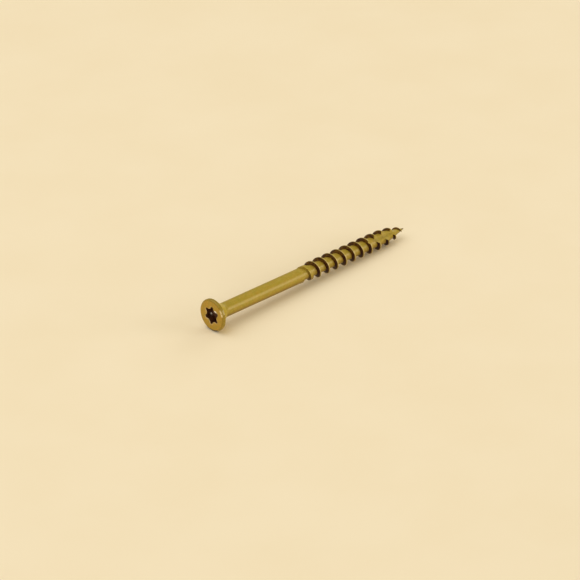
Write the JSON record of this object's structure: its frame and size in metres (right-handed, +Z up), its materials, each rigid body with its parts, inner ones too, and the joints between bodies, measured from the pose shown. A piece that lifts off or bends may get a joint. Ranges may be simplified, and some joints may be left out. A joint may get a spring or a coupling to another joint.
{
  "type": "deck screw",
  "caption": "Tan coated steel deck screw lying at rest: flat countersunk head with a six-lobe drive recess, smooth shank, coarse right-hand wood thread and a slash-cut point.",
  "frame": {"origin": "centre of the bounding box in plan, at the level of the surface the screw lies on", "axes": "+X along the screw from the head to the tip, +Z up; the axis dips about two degrees towards the tip because the head is wider than the thread"},
  "size_m": [0.0636, 0.0078, 0.0079],
  "materials": {
    "coated_steel": "satin tan coating over steel"
  },
  "bodies": {
    "root": {"deck_screw": "coated_steel"}
  },
  "joints": []
}
